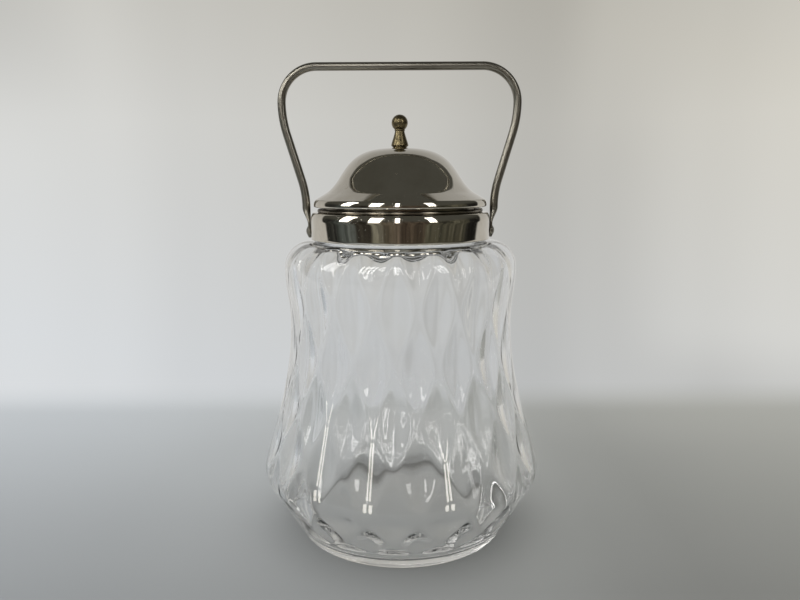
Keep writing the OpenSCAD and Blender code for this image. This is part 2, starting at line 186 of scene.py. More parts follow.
def spin(profile, n, wobble=None):
    """Points and faces of a closed profile (r, z) turned about Z. Points at r 0 become poles."""
    profile = np.asarray(profile, float)
    a = np.linspace(0, 2 * math.pi, n, endpoint=False)
    verts, rings = [], []
    for r, z in profile:
        if r < 1e-6:
            rings.append([len(verts)])
            verts.append((0.0, 0.0, z))
            continue
        rr, zz = np.full(n, r), np.full(n, z)
        if wobble is not None:
            rr, zz = wobble(rr, zz, a)
        start = len(verts)
        rings.append(list(range(start, start + n)))
        verts += list(zip(rr * np.sin(a), -rr * np.cos(a), zz))
    faces = []
    m = len(profile)
    for i in range(m):
        p, q = rings[i], rings[(i + 1) % m]
        if len(p) == 1 and len(q) == 1:
            continue
        for k in range(n):
            k1 = (k + 1) % n
            if len(p) == 1:
                faces.append((p[0], q[k1], q[k]))
            elif len(q) == 1:
                faces.append((p[k], p[k1], q[0]))
            else:
                faces.append((p[k], p[k1], q[k1], q[k]))
    return verts, faces


def outward(ob):
    """Turns all faces out."""
    bm = bmesh.new()
    bm.from_mesh(ob.data)
    bmesh.ops.recalc_face_normals(bm, faces=bm.faces)
    bm.to_mesh(ob.data)
    bm.free()
    return ob


def welded(ob, gap=0.003):
    """Merges points that lie closer than the gap, in mm."""
    bm = bmesh.new()
    bm.from_mesh(ob.data)
    bmesh.ops.remove_doubles(bm, verts=bm.verts, dist=gap * MM)
    bm.to_mesh(ob.data)
    bm.free()
    return ob


def apply_boolean(ob, other, operation):
    """Joins the other object to the first, or cuts it out, and removes it."""
    mod = ob.modifiers.new("cut", "BOOLEAN")
    mod.operation = operation
    mod.solver = "MANIFOLD"
    mod.object = other
    graph = bpy.context.evaluated_depsgraph_get()
    mesh = bpy.data.meshes.new_from_object(ob.evaluated_get(graph))
    ob.modifiers.clear()
    old = ob.data
    ob.data = mesh
    bpy.data.meshes.remove(old)
    bpy.data.objects.remove(other, do_unlink=True)


# ---- Materials ---------------------------------------------------
class Nodes:
    """Small helper to write node trees."""

    def __init__(self, name, tree=None):
        if tree is None:
            self.mat = bpy.data.materials.new(name)
            self.mat.use_nodes = True
            tree = self.mat.node_tree
        self.tree = tree
        tree.nodes.clear()

    def add(self, kind, **props):
        node = self.tree.nodes.new(kind)
        for k, v in props.items():
            setattr(node, k, v)
        return node

    def put(self, socket, value):
        if isinstance(value, bpy.types.NodeSocket):
            self.tree.links.new(value, socket)
        elif value is not None:
            socket.default_value = value

    def math(self, op, a, b=None):
        node = self.add("ShaderNodeMath", operation=op)
        self.put(node.inputs[0], a)
        self.put(node.inputs[1], b)
        return node.outputs[0]

    def step(self, value, low, high, to_low=0.0, to_high=1.0, smooth=True):
        """Maps low..high to to_low..to_high and holds both ends."""
        node = self.add(
            "ShaderNodeMapRange",
            interpolation_type="SMOOTHSTEP" if smooth else "LINEAR",
            clamp=True,
        )
        for i, v in enumerate((value, low, high, to_low, to_high)):
            self.put(node.inputs[i], v)
        return node.outputs[0]

    def mix(self, factor, a, b, blend="MIX"):
        node = self.add("ShaderNodeMix", data_type="RGBA", blend_type=blend)
        self.put(node.inputs[0], factor)
        self.put(node.inputs[6], a)
        self.put(node.inputs[7], b)
        return node.outputs[2]

    def ramp(self, value, stops, interpolation="LINEAR"):
        """A colour ramp. Each stop is a place and a grey or a colour."""
        node = self.add("ShaderNodeValToRGB")
        self.put(node.inputs[0], value)
        cr = node.color_ramp
        cr.interpolation = interpolation
        while len(cr.elements) > len(stops):
            cr.elements.remove(cr.elements[-1])
        while len(cr.elements) < len(stops):
            cr.elements.new(1.0)
        for e, (p, c) in zip(cr.elements, stops):
            e.position = p
            e.color = (*c, 1.0) if not np.isscalar(c) else (c, c, c, 1.0)
        return node.outputs[0]

    def coords(self):
        return self.add("ShaderNodeTexCoord").outputs["Object"]

    def product(self, *factors):
        """The colours multiplied."""
        total = factors[0]
        for factor in factors[1:]:
            total = self.mix(1.0, total, factor, "MULTIPLY")
        return total

    def grey(self, value):
        node = self.add("ShaderNodeCombineColor")
        for i in range(3):
            self.put(node.inputs[i], value)
        return node.outputs[0]

    def scaled(self, vector, scale):
        node = self.add("ShaderNodeMapping")
        self.put(node.inputs[0], vector)
        node.inputs["Scale"].default_value = scale
        return node.outputs[0]

    def noise(self, vector, scale, detail, rough=0.5):
        node = self.add("ShaderNodeTexNoise")
        self.put(node.inputs["Vector"], vector)
        node.inputs["Scale"].default_value = scale
        node.inputs["Detail"].default_value = detail
        node.inputs["Roughness"].default_value = rough
        return node.outputs["Fac"]

    def cells(self, vector, scale):
        node = self.add("ShaderNodeTexVoronoi", feature="F1")
        self.put(node.inputs["Vector"], vector)
        node.inputs["Scale"].default_value = scale
        return node.outputs["Distance"]

    def bump(self, height, strength, distance, normal=None):
        node = self.add("ShaderNodeBump")
        node.inputs["Strength"].default_value = strength
        node.inputs["Distance"].default_value = distance
        self.put(node.inputs["Height"], height)
        if normal is not None:
            self.put(node.inputs["Normal"], normal)
        return node.outputs[0]

    def principled(self, **values):
        node = self.add("ShaderNodeBsdfPrincipled")
        for k, v in values.items():
            self.put(node.inputs[k.replace("_", " ")], v)
        return node

    def output(self, shader):
        out = self.add("ShaderNodeOutputMaterial")
        self.tree.links.new(shader, out.inputs["Surface"])
        return self.mat


def glass_material():
    """Clear glass with slight waves and a few tiny bubbles. It lets the lamps' light through."""
    t = Nodes("clear_glass")
    at = t.coords()
    waves = t.noise(t.scaled(at, (1, 1, 0.55)), 95.0, 2.0, 0.45)
    normal = t.bump(waves, 0.05, 0.0006)
    seeds = t.step(t.cells(at, 230.0), 0.0, 0.09, 1.0, 0.0)
    normal = t.bump(seeds, 0.10, 0.0002, normal)
    glass = t.principled(
        Base_Color=(1.0, 1.0, 1.0, 1),
        Roughness=0.0,
        IOR=1.5,
        Transmission_Weight=1.0,
        Normal=normal,
    )
    clear = t.add("ShaderNodeBsdfTransparent")
    clear.inputs[0].default_value = (0.965, 0.97, 0.965, 1)
    mixed = t.add("ShaderNodeMixShader")
    t.put(mixed.inputs[0], t.add("ShaderNodeLightPath").outputs["Is Shadow Ray"])
    t.put(mixed.inputs[1], glass.outputs[0])
    t.put(mixed.inputs[2], clear.outputs[0])
    return t.output(mixed.outputs[0])


def plate_material(name, bright, dull, rough_low, rough_high, worn, tarnish, relief=1.0):
    """Old plate: a soft mirror with tarnish clouds, fine scratches, pits and worn patches.

    Tarnish is the share of the dull colour in the clouds, and relief scales patches and pits.
    """
    t = Nodes(name)
    at = t.coords()
    cloud = t.noise(at, 38.0, 5.0, 0.6)
    cloud = t.step(cloud, 0.38, 0.72)
    fine = t.noise(at, 420.0, 4.0, 0.65)
    colour = t.mix(t.math("MULTIPLY", cloud, tarnish), (*bright, 1), (*dull, 1))
    patches = t.step(t.noise(at, 120.0, 4.0, 0.7), 0.60, 0.74)
    colour = t.mix(t.math("MULTIPLY", patches, 0.45 * relief), colour, (*worn, 1))
    pits = t.step(t.cells(at, 900.0), 0.0, 0.16, 1.0, 0.0)
    gate = t.step(t.noise(at, 160.0, 2.0), 0.50, 0.62)
    pits = t.math("MULTIPLY", pits, gate)
    colour = t.mix(t.math("MULTIPLY", pits, 0.55 * relief), colour, (0.10, 0.085, 0.07, 1))
    scratch = t.noise(at, 1500.0, 2.0, 0.6)
    rough = t.step(
        t.math("ADD", t.math("MULTIPLY", cloud, 0.5), t.math("MULTIPLY", fine, 0.5)),
        0.2,
        0.8,
        rough_low,
        rough_high,
        False,
    )
    normal = t.bump(scratch, 0.03 * relief, 0.00004)
    normal = t.bump(pits, 0.35 * relief, 0.00008, normal)
    normal = t.bump(t.noise(at, 60.0, 2.0), 0.10 * relief, 0.0006, normal)
    metal = t.principled(Base_Color=colour, Metallic=1.0, Roughness=rough, Normal=normal)
    return t.output(metal.outputs[0])


def brass_material(name, bright, dark, rough_low, rough_high):
    """Turned brass with fine tool marks, dark clouds and spots."""
    t = Nodes(name)
    at = t.coords()
    cloud = t.step(t.noise(at, 260.0, 4.0, 0.6), 0.35, 0.7)
    spots = t.step(t.noise(at, 1300.0, 3.0, 0.6), 0.56, 0.70)
    colour = t.mix(cloud, (*bright, 1), (*dark, 1))
    colour = t.mix(t.math("MULTIPLY", spots, 0.6), colour, (0.05, 0.035, 0.02, 1))
    turned = t.noise(t.scaled(at, (0.05, 0.05, 1)), 9000.0, 2.0)
    rough = t.step(cloud, 0.0, 1.0, rough_low, rough_high, False)
    normal = t.bump(turned, 0.10, 0.00004)
    normal = t.bump(spots, 0.3, 0.00005, normal)
    metal = t.principled(Base_Color=colour, Metallic=1.0, Roughness=rough, Normal=normal)
    return t.output(metal.outputs[0])


def plaster_material():
    t = Nodes("plaster")
    at = t.coords()
    grain = t.noise(at, 700.0, 5.0, 0.7)
    stain = t.step(t.noise(at, 60.0, 4.0, 0.6), 0.35, 0.75)
    colour = t.mix(stain, (0.62, 0.60, 0.54, 1), (0.40, 0.36, 0.29, 1))
    colour = t.mix(t.step(grain, 0.3, 0.7, 0.0, 0.3), colour, (0.30, 0.27, 0.22, 1))
    normal = t.bump(grain, 0.5, 0.0002)
    body = t.principled(Base_Color=colour, Roughness=0.9, Normal=normal)
    return t.output(body.outputs[0])


SILVER = plate_material(
    "silver_plate", (0.63, 0.598, 0.53), (0.46, 0.42, 0.345), 0.03, 0.10,
    (0.44, 0.38, 0.28), 0.6, 1.15,
)
HANDLE = plate_material(
    "handle_plate", (0.262, 0.248, 0.212), (0.18, 0.166, 0.138), 0.30, 0.31,
    (0.58, 0.54, 0.48), 0.7, 0.05,
)
# Darker plate for the bezel: tarnish clouds over colours darkened as painted shade for the groove
# between the rim and the collar
GROOVE_SHADE_AND_TARNISH = plate_material(
    "silver_tarnish_and_groove_shade", (0.30, 0.27, 0.22), (0.10, 0.085, 0.065), 0.14, 0.34,
    (0.16, 0.13, 0.09), 0.8,
)
BRASS = brass_material("aged_brass", (0.19, 0.155, 0.085), (0.11, 0.09, 0.05), 0.30, 0.42)
RAW_BRASS = brass_material("raw_brass", (0.60, 0.46, 0.22), (0.36, 0.26, 0.12), 0.25, 0.45)
GLASS = glass_material()
PLASTER = plaster_material()

# ---- Glass -------------------------------------------------------
GIRTH_HIGH_A, GIRTH_LOW_A = 9.5, -20.0
SHOULDER_END_A = 8
# How far each curve keeps its direction at its ends: the waist in mm, the bowl as shares of
# the heights above and below the girth, the foot as steps (radius, height)
WAIST_PULL = 11
WAIST_DOWN, GIRTH_UP, GIRTH_DOWN = 0.44, 0.14, 0.13
FOOT_PULL = [4.3, 6.8]
bowl_h = WAIST_Z - GIRTH_Z
foot_edge = np.array([FOOT_R + 0.85 * FOOT_ROUND, 1.2 * FOOT_ROUND])
girth_c = np.array([GIRTH_R - GIRTH_ROUND, GIRTH_Z])
girth_high, girth_low = (girth_c + polar(GIRTH_ROUND, a) for a in (GIRTH_HIGH_A, GIRTH_LOW_A))
# The outside, from the neck down to the foot
outline = path(
    arc((SHOULDER_R - SHOULDER_ROUND, SHOULDER_Z), SHOULDER_ROUND, 90, SHOULDER_END_A, 60),
    curve((SHOULDER_R, SHOULDER_Z), (SHOULDER_R, SHOULDER_Z - WAIST_PULL),
          (WAIST_R, WAIST_Z + WAIST_PULL), (WAIST_R, WAIST_Z), 60),
    curve((WAIST_R, WAIST_Z), (WAIST_R, WAIST_Z - WAIST_DOWN * bowl_h),
          girth_high + polar(GIRTH_UP * bowl_h, 90 + GIRTH_HIGH_A), girth_high, 120),
    arc(girth_c, GIRTH_ROUND, GIRTH_HIGH_A, GIRTH_LOW_A, 24),
    curve(girth_low, girth_low - polar(GIRTH_DOWN * GIRTH_Z, 90 + GIRTH_LOW_A),
          foot_edge + FOOT_PULL, foot_edge, 90),
    curve(foot_edge, foot_edge - np.array([0.35, 0.62]) * FOOT_ROUND,
          (FOOT_R + 0.35 * FOOT_ROUND, 0), (FOOT_R, 0), 24, True),
)
outline_d = np.concatenate([[0], np.cumsum(np.linalg.norm(np.diff(outline, axis=0), axis=1))])
OUTLINE_LEN = outline_d[-1]
NORMAL_REACH = 0.8


def on_outline(d):
    """Point of the outline at the length d from the neck."""
    return np.stack([np.interp(d, outline_d, outline[:, i]) for i in (0, 1)], -1)


def out_of_outline(d):
    """Direction straight out of the outline there."""
    below = on_outline(np.minimum(d + NORMAL_REACH, OUTLINE_LEN))
    v = below - on_outline(np.maximum(d - NORMAL_REACH, 0))
    v /= np.linalg.norm(v, axis=-1)[..., None]
    return np.stack([-v[..., 1], v[..., 0]], -1)


def row_d(n):
    """Length from the neck at which crossing n lies. n may be any real number."""
    return FIRST_ROW_D + HALF_ROW * n - ROW_SHRINK * n * (n - 1) / 2


def row_of(d):
    """The inverse of row_d."""
    b = HALF_ROW + ROW_SHRINK / 2
    return (b - np.sqrt(b * b - 2 * ROW_SHRINK * (d - FIRST_ROW_D))) / ROW_SHRINK


def diamond(u, n):
    """Height of the relief, from 0 on a groove to 1 in the middle of a diamond."""
    s = np.sin(math.pi * (u + n / 2)) * np.sin(math.pi * (u - n / 2))
    soft = GROOVE_ROUND / GROOVE_DEPTH
    return (np.sqrt(s * s + soft * soft) - soft) / (math.sqrt(1 + soft * soft) - soft)


def smooth01(x):
    """Rises smoothly from 0 at 0 to 1 at 1."""
    x = np.clip(x, 0, 1)
    return x * x * (3 - 2 * x)


# Steps in a diamond, so that a vertex falls on every groove
STEPS = 24
AROUND = DIAMONDS * STEPS
# More rows than the outline has room for, the spare ones are left out
MAX_ROWS = 6
FLOOR_ROUND = 6.0
# The pattern ends a little above the floor, and fades out over these lengths at both ends
FLOOR_SHARE = 0.6
FADE_TOP, FADE_FOOT = 3.0, 7.0
inner_z = outline[:, 1] - GLASS_WALL * out_of_outline(outline_d)[:, 1]
PATTERN_LEN = outline_d[inner_z > GLASS_BASE + FLOOR_ROUND * FLOOR_SHARE][-1]
# Roundings of the neck: inside below it, both edges of the lip, and where it leaves the shoulder
CEILING_ROUND, LIP_IN_ROUND, LIP_ROUND, NECK_FILLET = 2, 0.8, 1.1, 0.9
# Radius of the innermost rings of floor and foot, every how many points the outside is taken,
# and how close a groove's ring may come to the pattern's ends
POLE_R, OUTSIDE_STEP, END_GAP = 4, 5, 0.3


def inside(d, u, n):
    """Inside of the wall as radius and height."""
    fade = smooth01(d / FADE_TOP) * smooth01((PATTERN_LEN - d) / FADE_FOOT)
    wall = GLASS_WALL - GROOVE_DEPTH * fade * (1 - diamond(u, n))
    p, out = on_outline(d), out_of_outline(d)
    return p[0] - wall * out[0], p[1] - wall * out[1]


def glass_jar():
    """The glass as rings around the axis, from the floor inside up and over to the foot."""
    k = np.arange(AROUND)
    rows = []

    def ring(r, z, d=0.0):
        """One ring. The pattern's grid is twisted by the length d from the neck."""
        turn = np.radians(PATTERN_TURN + PATTERN_TWIST * d / OUTLINE_LEN)
        angle = turn + 2 * math.pi * k / AROUND
        r, z = np.broadcast_to(r, (AROUND,)), np.broadcast_to(z, (AROUND,))
        rows.append(np.stack([r * np.sin(angle), -r * np.cos(angle), z], 1))

    # Inside, from the floor up
    foot = inside(PATTERN_LEN, 0.0, 0.0)
    corner = np.array([foot[0] - (foot[1] - GLASS_BASE) * FLOOR_SHARE, GLASS_BASE])
    floor_end = corner - [FLOOR_ROUND, 0]
    floor_curve = curve(foot, corner + [0.5, 0.4], corner - [0.6, 0], floor_end, 16, True)
    for r in np.linspace(POLE_R, corner[0] - FLOOR_ROUND, 10)[:-1]:
        ring(r, GLASS_BASE, PATTERN_LEN)
    for r, z in floor_curve[:0:-1]:
        ring(r, z, PATTERN_LEN)
    on_grooves = row_d(np.arange(-STEPS // 2, MAX_ROWS * STEPS) * 2 / STEPS)
    on_grooves = on_grooves[(on_grooves > END_GAP) & (on_grooves < PATTERN_LEN - END_GAP)]
    for d in np.concatenate([[0.0], on_grooves, [PATTERN_LEN]])[::-1]:
        ring(*inside(d, k / STEPS, row_of(d)), d)
    ceiling_z = SHOULDER_TOP - GLASS_WALL + CEILING_ROUND
    fillet_z = SHOULDER_TOP + NECK_FILLET
    for r, z in arc((MOUTH_R + CEILING_ROUND, ceiling_z), CEILING_ROUND, 270, 180, 8):
        ring(r, z)
    for r, z in rounded(
        [(MOUTH_R, ceiling_z), (MOUTH_R, LIP_Z), (NECK_R, LIP_Z), (NECK_R, fillet_z)],
        [0, LIP_IN_ROUND, LIP_ROUND, 0], 6,
    )[1:]:
        ring(r, z)
    for r, z in arc((NECK_R + NECK_FILLET, fillet_z), NECK_FILLET, 180, 270, 6)[1:]:
        ring(r, z)
    # Outside, from the neck down to the foot
    for r, z in outline[2:-1:OUTSIDE_STEP]:
        ring(r, z)
    for r in np.linspace(FOOT_R, POLE_R, 8):
        ring(r, 0.0)
    verts = np.vstack(rows)
    m = len(rows)
    faces = []
    for j in range(m - 1):
        a, b = j * AROUND, (j + 1) * AROUND
        for i in range(AROUND):
            i1 = (i + 1) % AROUND
            faces.append((a + i, b + i, b + i1, a + i1))
    lo, hi = len(verts), len(verts) + 1
    verts = np.vstack([verts, [[0, 0, GLASS_BASE], [0, 0, 0]]])
    last = (m - 1) * AROUND
    for i in range(AROUND):
        i1 = (i + 1) % AROUND
        faces.append((i, i1, lo))
        faces.append((last + i1, last + i, hi))
    return outward(new_object("jar_glass", verts, faces, GLASS))


piece(glass_jar(), "jar", "clear_glass", "glass_jar")


# ---- Plated sheet: collar, dome with its rim, bezel --------------
def ripple(seed, size, low=5, high=34, terms=9):
    """Slight unevenness of spun sheet: a sum of waves around the axis, fixed by its seed.

    Size is its height in mm, and low and high are how many waves go around.
    """
    rng = np.random.default_rng(seed)
    freq = rng.integers(low, high, terms)
    phase = rng.uniform(0, 2 * math.pi, terms)
    amount = rng.uniform(0.3, 1.0, terms) * 12.0 / freq
    tilt = rng.uniform(-0.35, 0.35, terms)
    total = np.sum(amount)

    def wobble(r, z, a):
        waves = zip(freq, phase, amount, tilt)
        w = sum(m * np.sin(f * a + p + t * z) for f, p, m, t in waves) / total
        return r + size * w, z

    return wobble


SEGMENTS, FINIAL_SEGMENTS, PIN_SEGMENTS = 288, 96, 64
# Edges above this angle stay sharp
SHARP_A, FINIAL_SHARP_A, BAIL_SHARP_A, RIVET_SHARP_A = 40, 50, 38, 35
crown_step = COLLAR_CROWN - COLLAR_ROUND
crown_c = np.array([
    COLLAR_R - COLLAR_CROWN, COLLAR_Z1 - COLLAR_ROUND - crown_step * sind(COLLAR_CROWN_A)
])
bend_c = crown_c + polar(crown_step, COLLAR_CROWN_A)


def collar_edge(inset, n):
    """Face of the collar from its gentle curve to its flat top."""
    return path(
        arc(crown_c, COLLAR_CROWN - inset, 0, COLLAR_CROWN_A, n),
        arc(bend_c, COLLAR_ROUND - inset, COLLAR_CROWN_A, 90, n),
    )


# The bevel of the collar's lower edge, from its start to its middle, and that in its mouth
BEVEL, BEVEL_IN, MOUTH_BEVEL = 0.25, 0.07, 0.1
collar_profile = path(
    [[COLLAR_IN, COLLAR_Z0], [COLLAR_R - BEVEL, COLLAR_Z0],
     [COLLAR_R - BEVEL_IN, COLLAR_Z0 + BEVEL_IN]],
    [[COLLAR_R, z] for z in np.linspace(COLLAR_Z0 + BEVEL, crown_c[1], 12)],
    collar_edge(0, 12),
    [[MOUTH_R + MOUTH_BEVEL, COLLAR_Z1], [MOUTH_R, COLLAR_Z1 - MOUTH_BEVEL],
     [MOUTH_R, COLLAR_Z1 - SHEET]],
    collar_edge(SHEET, 6)[::-1],
)
verts, faces = spin(collar_profile, SEGMENTS, ripple(3, 0.045))
collar = outward(new_object("collar_band", verts, faces, SILVER, SHARP_A))
piece(collar, "jar", "silver_plate", "collar")

# How far the dome's curves keep their direction: shares of its height, and of the way from
# the crown to the turn
CROWN_PULL, TURN_UP, TURN_DOWN, SKIRT_UP = 0.625, 0.366, 0.13, 0.09
rim_round = (RIM_H - SHEET) / sind(RIM_A)
rim_c = np.array([RIM_R - rim_round, RIM_Z0 + SHEET])
brim = rim_c + polar(rim_round, RIM_A)
skirt_top = brim + SKIRT_W * np.array([-1, math.tan(math.radians(SKIRT_A))])
dome_turn = np.array([DOME_TURN_R, RIM_Z1 + TURN_SHARE * DOME_H])
dome = path(
    curve((CROWN_R, CROWN_Z), (CROWN_R + CROWN_PULL * (DOME_TURN_R - CROWN_R), CROWN_Z),
          dome_turn + polar(TURN_UP * DOME_H, 180 - TURN_A), dome_turn, 44),
    curve(dome_turn, dome_turn - polar(TURN_DOWN * DOME_H, 180 - TURN_A),
          skirt_top + polar(SKIRT_UP * DOME_H, 180 - SKIRT_A), skirt_top, 24, True),
)
# The crease between skirt and rim is rounded off over SOFT_A of the rim's curve
SOFT_A, CREASE_ROUND = 9.0, 0.35
rim_start = rim_c + polar(rim_round, RIM_A - SOFT_A)
crease = rounded([skirt_top, brim, rim_start], [0, CREASE_ROUND, 0], 6)
under = path(dome, [brim])
under = under - SHEET * side(under)
rim_in = arc(rim_c, rim_round - SHEET, 0, RIM_A, 8)
under = under[(under[:, 0] > CROWN_R) & (under[:, 0] < rim_in[-1][0])][::3]
HOLE_R = STUD_R + 0.15
lid_profile = path(
    [[HOLE_R, CROWN_Z]],
    dome,
    crease[1:-1],
    arc(rim_c, rim_round, RIM_A - SOFT_A, 0, 14),
    arc((RIM_R - SHEET, RIM_Z0 + SHEET), SHEET, 0, -90, 8),
    rim_in,
    under[::-1],
    [[CROWN_R, CROWN_Z - SHEET], [HOLE_R, CROWN_Z - SHEET]],
)
verts, faces = spin(lid_profile, SEGMENTS, ripple(11, 0.03, low=3, high=16))
lid = outward(new_object("lid_dome", verts, faces, SILVER, SHARP_A))
piece(lid, "lid", "silver_plate", "lid_shell")

skirt_in = skirt_top - SHEET * np.array([sind(SKIRT_A), cosd(SKIRT_A)])


def under_skirt(r):
    """Height of the underside of the skirt at that radius."""
    return np.interp(r, [skirt_in[0], rim_in[-1][0]], [skirt_in[1], rim_in[-1][1]])


bezel_in = BEZEL_R - SHEET
bezel_profile = path(
    [[bezel_in, COLLAR_Z1 - BEZEL_DROP], [BEZEL_R, COLLAR_Z1 - BEZEL_DROP],
     [BEZEL_R, COLLAR_Z1 - 0.3], [BEZEL_R, COLLAR_Z1]],
    arc((RIM_R - BEAD_INSET - BEAD_R, COLLAR_Z1 + BEAD_R), BEAD_R, -90, 90, 14),
    [[BEZEL_R, COLLAR_Z1 + 2 * BEAD_R], [BEZEL_R, under_skirt(BEZEL_R) - BED],
     [bezel_in, under_skirt(bezel_in) - BED]],
)
verts, faces = spin(bezel_profile, SEGMENTS, ripple(5, 0.02))
# The bezel takes the darker plate, painted shade for the groove between rim and collar
bezel = outward(new_object("lid_bezel_ring", verts, faces, GROOVE_SHADE_AND_TARNISH, SHARP_A))
piece(bezel, "lid", "silver_plate", "lid_bezel")

# ---- Finial and what holds it ------------------------------------
# The stud ends below its nut with a bevel, and the skirt stands on a foot of FOOT_SHARE of its
# radius, with its edge at EDGE_H
STUD_END, STUD_BEVEL = 0.8, 0.3
FOOT_SHARE, EDGE_H = 0.8, 1.3
washer_z = CROWN_Z - SHEET - WASHER_T
stud_z = washer_z - NUT_H - STUD_END
ball_z = CROWN_Z + FINIAL_H - BALL_R
join_a = -math.degrees(math.acos(FINIAL_NECK_R / BALL_R))
join_z = ball_z + BALL_R * sind(join_a)
skirt_z = CROWN_Z + EDGE_H
finial_foot = FOOT_SHARE * SKIRT_R
finial_profile = path(
    [[0, stud_z], [STUD_R - STUD_BEVEL, stud_z], [STUD_R, stud_z + STUD_BEVEL],
     [STUD_R, CROWN_Z], [finial_foot, CROWN_Z]],
    [[finial_foot, CROWN_Z + 0.5], [SKIRT_R - 0.25, skirt_z - 0.25]],
    curve((SKIRT_R, skirt_z), (SKIRT_R - 0.2, skirt_z + 1.5),
          (FINIAL_NECK_R + 0.4, join_z - 3), (FINIAL_NECK_R, join_z - 0.7), 18, True),
    # A small bead under the ball
    [[FINIAL_NECK_R + 0.1, join_z - 0.62], [FINIAL_NECK_R + 0.3, join_z - 0.35],
     [FINIAL_NECK_R + 0.15, join_z - 0.1]],
    arc((0, ball_z), BALL_R, join_a, 90, 40)[1:-1],
    [[0, ball_z + BALL_R]],
)
verts, faces = spin(finial_profile, FINIAL_SEGMENTS)
finial = outward(new_object("finial_knob", verts, faces, BRASS, FINIAL_SHARP_A))
piece(finial, "lid", "aged_brass", "finial")


# ---- Bail handle -------------------------------------------------
eye_x = COLLAR_R + EYE_GAP
arm_x = eye_x + WIRE_R
out_x = COLLAR_R + BAIL_OUT
corner_z = PIVOT_Z + BAIL_H - CORNER_R
bend = 1 - cosd(ARM_LEAN)
lean_len = (out_x - arm_x - (FLARE_R + ANKLE_R) * bend) / sind(ARM_LEAN)
lean_top = np.array([out_x - FLARE_R * bend, corner_z - FLARE_R * sind(ARM_LEAN)])
lean_foot = lean_top - lean_len * np.array([sind(ARM_LEAN), cosd(ARM_LEAN)])
ankle_z = lean_foot[1] - ANKLE_R * sind(ARM_LEAN)
# Points around the wire, and where the bend into the top bar starts
WIRE_N, CORNER_START_A = 40, 3
# The flat tongue stays this much within the eye, ends this far below the ankle, and turns
# round from this share of its length on. The power makes its section square.
TONGUE_IN, TONGUE_END, ROUND_FROM, FLAT_POWER = 0.1, 0.3, 0.3, 5
# Edge of the eye, and how far the tool for its hole reaches past it
EYE_EDGE, CUT_REACH = 0.25, 1


def bail():
    """The wire from eye to eye, swept along its path, with a pierced eye at each end."""
    bar_end = out_x - CORNER_R
    arm = path(
        arc((arm_x + ANKLE_R, ankle_z), ANKLE_R, 180, 180 - ARM_LEAN, 14),
        np.linspace(lean_foot, lean_top, 8)[1:-1],
        arc((out_x - FLARE_R, corner_z), FLARE_R, -ARM_LEAN, 0, 14),
        arc((bar_end, corner_z), CORNER_R, CORNER_START_A, 90, 30),
        [[x, corner_z + CORNER_R] for x in np.linspace(bar_end, 0, 24)[1:]],
    )
    out = -side(arm)
    out[-1] = (0, 1)
    n = WIRE_N
    k = 2 * math.pi * np.arange(n) / n
    c, s = np.cos(k), np.sin(k)

    def ring(p, o, a, b, power):
        """A ring around p with half sizes a (along o) and b. Power 2 is round, more is square."""
        u = a * np.sign(c) * np.abs(c) ** (2 / power)
        v = b * np.sign(s) * np.abs(s) ** (2 / power)
        return np.stack([p[0] + o[0] * u, v, p[1] + o[1] * u], 1)

    tongue_t, tongue_half = EYE_T - TONGUE_IN, EYE_R - TONGUE_IN
    tongue_top = ankle_z - TONGUE_END
    rings = []
    for t in np.linspace(0, 1, 25):
        rnd = smooth01((t - ROUND_FROM) / (1 - ROUND_FROM))
        a = tongue_t / 2 + (WIRE_R - tongue_t / 2) * rnd
        b = tongue_half + (WIRE_R - tongue_half) * rnd
        z = PIVOT_Z + (tongue_top - PIVOT_Z) * t
        x = eye_x + (EYE_T - tongue_t) / 2 * (1 - rnd) + a
        rings.append(ring((x, z), (1, 0), a, b, FLAT_POWER + (2 - FLAT_POWER) * rnd))
    for p, o in zip(arm, out):
        rings.append(ring(p, o, WIRE_R, WIRE_R, 2))
    half = rings
    rings = [r * [-1, 1, 1] for r in half] + half[-2::-1]
    verts = np.vstack(rings)
    faces = []
    for j in range(len(rings) - 1):
        for i in range(n):
            a, b = j * n + i, j * n + (i + 1) % n
            faces.append((a, b, b + n, a + n))
    faces.append(tuple(range(n - 1, -1, -1)))
    faces.append(tuple((len(rings) - 1) * n + i for i in range(n)))
    ob = outward(new_object("bail_wire", verts, faces, HANDLE))
    for turn in (1, -1):
        for x0, x1, r, op in (
            (eye_x, eye_x + EYE_T, EYE_R, "UNION"),
            (eye_x - CUT_REACH, eye_x + EYE_T + CUT_REACH, RIVET_R + PIVOT_CLEAR, "DIFFERENCE"),
        ):
            edge = EYE_EDGE if op == "UNION" else 0.0
            profile = rounded([(0, x0), (r, x0), (r, x1), (0, x1)], [0, edge, edge, 0], 4)
            v, f = spin(profile, PIN_SEGMENTS)
            v = np.array(v)
            v = np.stack([v[:, 2] * turn, v[:, 1], v[:, 0] * turn + PIVOT_Z], 1)
            apply_boolean(ob, outward(new_object("tool", v, f, HANDLE)), op)
    welded(ob)
    ob.data.polygons.foreach_set("use_smooth", [True] * len(ob.data.polygons))
    ob.data.set_sharp_from_angle(angle=math.radians(BAIL_SHARP_A))
    return ob


piece(bail(), "bail", "handle_plate", "handle")


# ---- Rivets ------------------------------------------------------
# The peened tail inside the collar: its width in rivet radii, and how far off the neck it ends
TAIL_SHARE, TAIL_CLEAR = 1.5, 0.08


